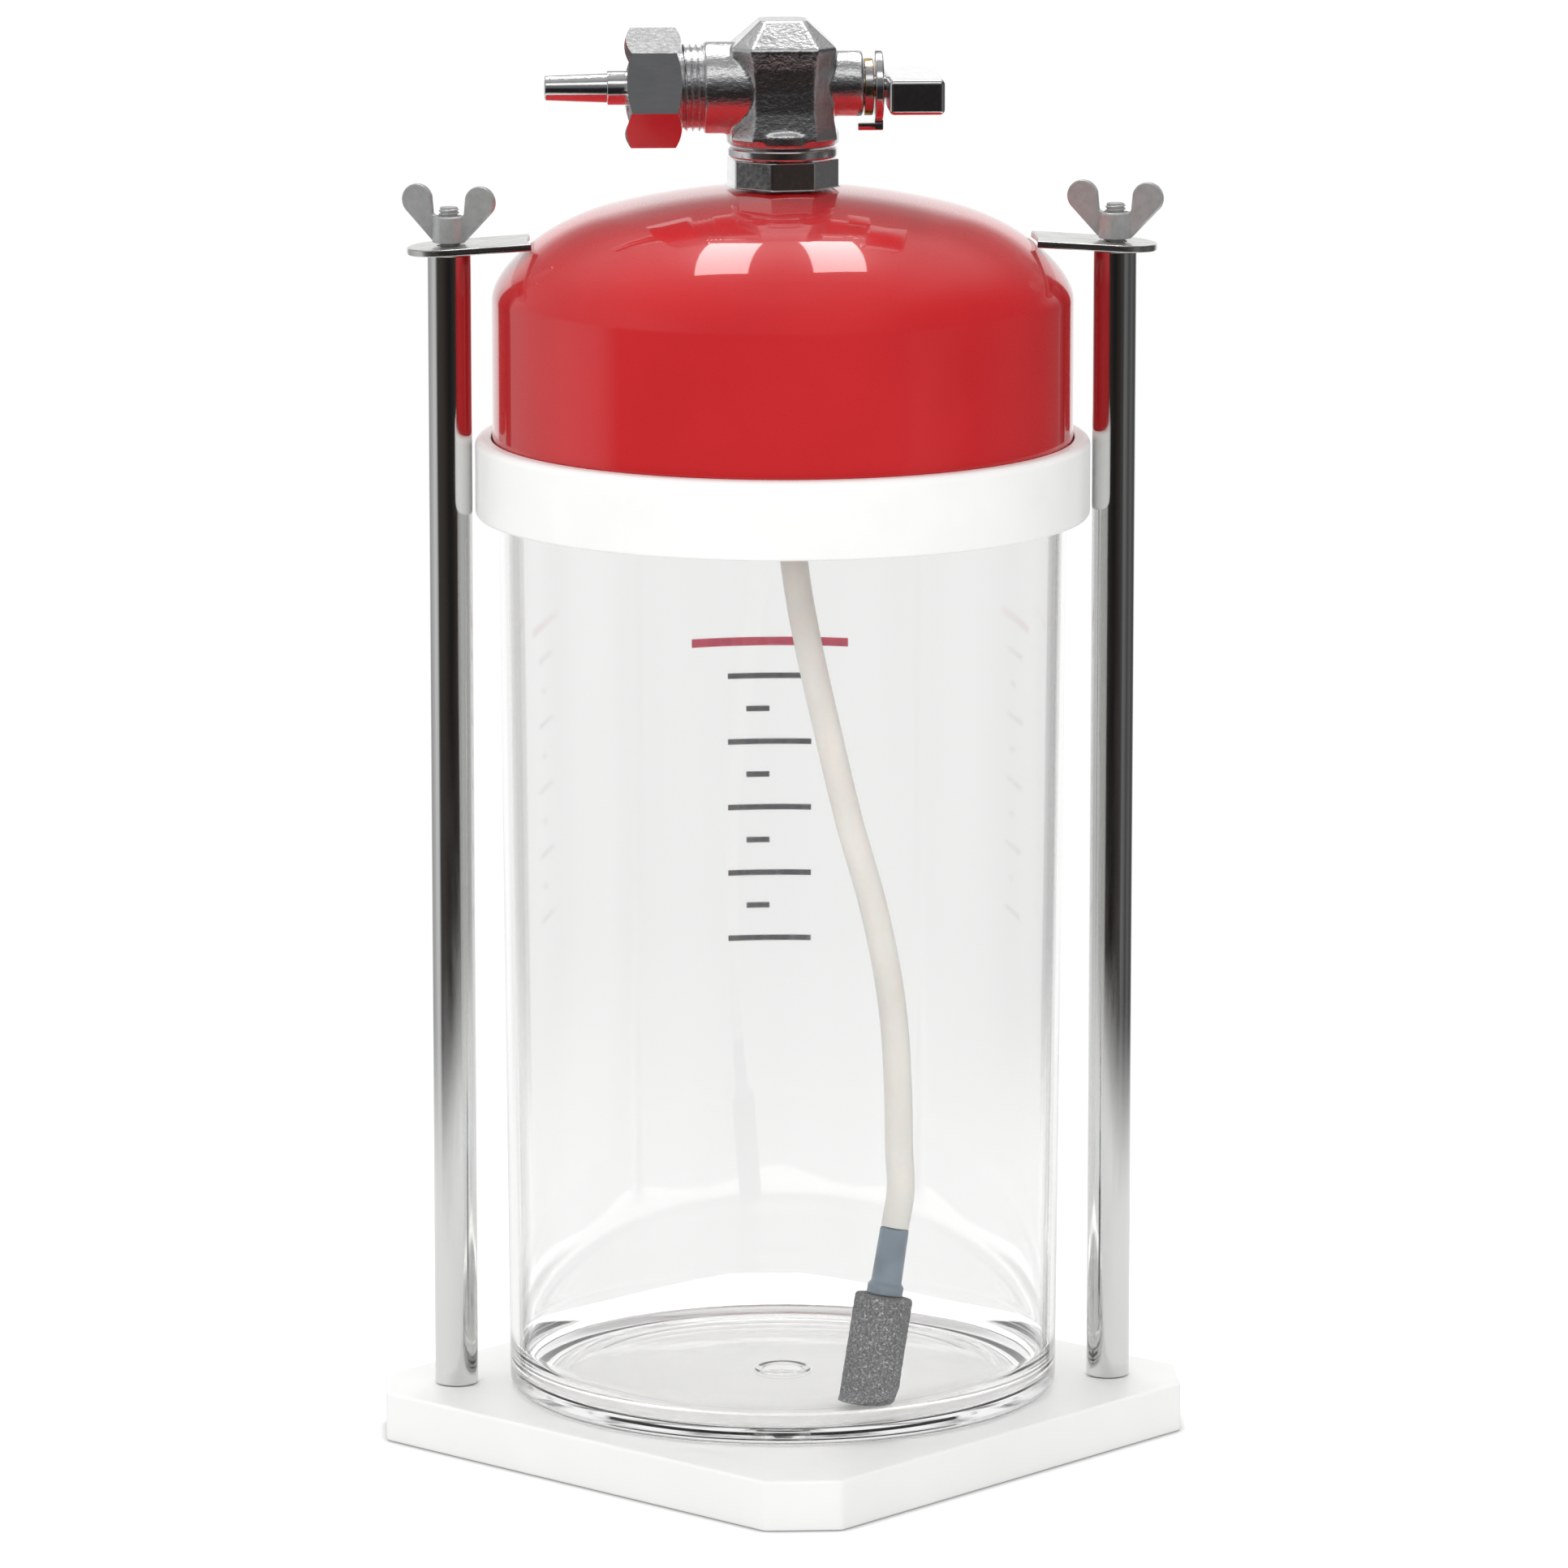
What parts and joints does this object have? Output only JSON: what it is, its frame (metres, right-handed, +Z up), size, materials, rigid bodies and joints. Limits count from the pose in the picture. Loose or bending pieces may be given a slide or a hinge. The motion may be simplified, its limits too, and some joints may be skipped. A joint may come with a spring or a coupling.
{
  "type": "gas foaming jar with dip air stone",
  "caption": "Clear round jar on a square base, closed by a red domed lid with an angle valve, a dip hose and an air stone, clamped by rods and wing nuts.",
  "frame": {"origin": "on the floor under the jar's axis, centre of the base plate's underside", "axes": "+Z up, the two tie tubes stand on the X axis, the nozzle points to -X and the valve lever to -Y at rest"},
  "size_m": [0.2338, 0.2338, 0.4163],
  "materials": {
    "plate_white": "satin white moulded plastic",
    "ring_white": "satin white moulded plastic",
    "clear_plastic": "clear moulded plastic, faint grey tint",
    "red_enamel": "glossy red stove enamel",
    "cast_chrome": "chrome plate on a slightly rough casting",
    "nut_chrome": "chrome plate on machined flats",
    "polished_tube": "mirror polished tube",
    "stainless": "polished stainless strip",
    "zinc": "bright zinc plate",
    "brass": "turned brass",
    "black_rubber": "matt",
    "ptfe": "white sealing plastic",
    "silicone": "translucent silicone hose",
    "nipple_plastic": "blue grey plastic",
    "air_stone": null
  },
  "bodies": {
    "stand": {"base_plate": "plate_white", "left_tube": "polished_tube", "left_threaded_rod": "zinc", "left_base_nut": "zinc", "left_base_washer": "zinc", "right_tube": "polished_tube", "right_threaded_rod": "zinc", "right_base_nut": "zinc", "right_base_washer": "zinc"},
    "jar": {"jar": "clear_plastic"},
    "lid": {"lid_ring": "ring_white", "lid_gasket": "black_rubber", "dome": "red_enamel", "neck_collar": "cast_chrome", "neck_nut": "zinc", "neck_washer": "cast_chrome", "valve_body": "cast_chrome", "ball_seat": "ptfe", "seat_retainer": "brass", "stem_seal": "black_rubber", "gland_nut": "brass", "hose_fitting": "brass", "hose": "silicone", "stone_nipple": "nipple_plastic", "air_stone": "air_stone"},
    "lever": {"lever_handle": "cast_chrome", "lever_plate": "cast_chrome", "spindle": "cast_chrome", "valve_ball": "cast_chrome", "lever_screw": "zinc"},
    "nozzle": {"nozzle": "cast_chrome", "nozzle_gasket": "black_rubber"},
    "union_nut": {"union_nut": "nut_chrome"},
    "left_clamp": {"left_clamp_ear": "stainless"},
    "right_clamp": {"right_clamp_ear": "stainless"},
    "left_wing_nut": {"left_wing_nut": "zinc"},
    "right_wing_nut": {"right_wing_nut": "zinc"}
  },
  "joints": [
    {"name": "jar_lift", "type": "slide", "parent": "stand", "child": "jar", "axis": [0, 0, 1], "range_m": [0, 0.35]},
    {"name": "lid_lift", "type": "slide", "parent": "jar", "child": "lid", "axis": [0, 0, 1], "range_m": [0, 0.3]},
    {"name": "lever_turn", "type": "hinge", "parent": "lid", "child": "lever", "pos_m": [0, 0, 0.3966], "axis": [-1, 0, 0], "range_deg": [0, 90]},
    {"name": "nozzle_slide", "type": "slide", "parent": "lid", "child": "nozzle", "axis": [-1, 0, 0], "range_m": [0, 0.00908]},
    {"name": "union_nut_spin", "type": "hinge", "parent": "nozzle", "child": "union_nut", "pos_m": [-0.0373, 0, 0.3966], "axis": [-1, 0, 0], "range_deg": [0, 1800]},
    {"name": "left_clamp_slide", "type": "slide", "parent": "lid", "child": "left_clamp", "axis": [0, 0, 1], "range_m": [0, 0.00801]},
    {"name": "left_wing_nut_spin", "type": "hinge", "parent": "left_clamp", "child": "left_wing_nut", "pos_m": [-0.0961, 0, 0.35245], "axis": [0, 0, 1], "range_deg": [0, 2880]},
    {"name": "right_clamp_slide", "type": "slide", "parent": "lid", "child": "right_clamp", "axis": [0, 0, 1], "range_m": [0, 0.00801]},
    {"name": "right_wing_nut_spin", "type": "hinge", "parent": "right_clamp", "child": "right_wing_nut", "pos_m": [0.0961, 0, 0.35245], "axis": [0, 0, 1], "range_deg": [0, 2880]}
  ],
  "couplings": [
    {"joint": "nozzle_slide", "follows": "union_nut_spin", "m_per_rad": 0.00028871},
    {"joint": "left_clamp_slide", "follows": "left_wing_nut_spin", "m_per_rad": 0.00015915},
    {"joint": "right_clamp_slide", "follows": "right_wing_nut_spin", "m_per_rad": 0.00015915}
  ]
}
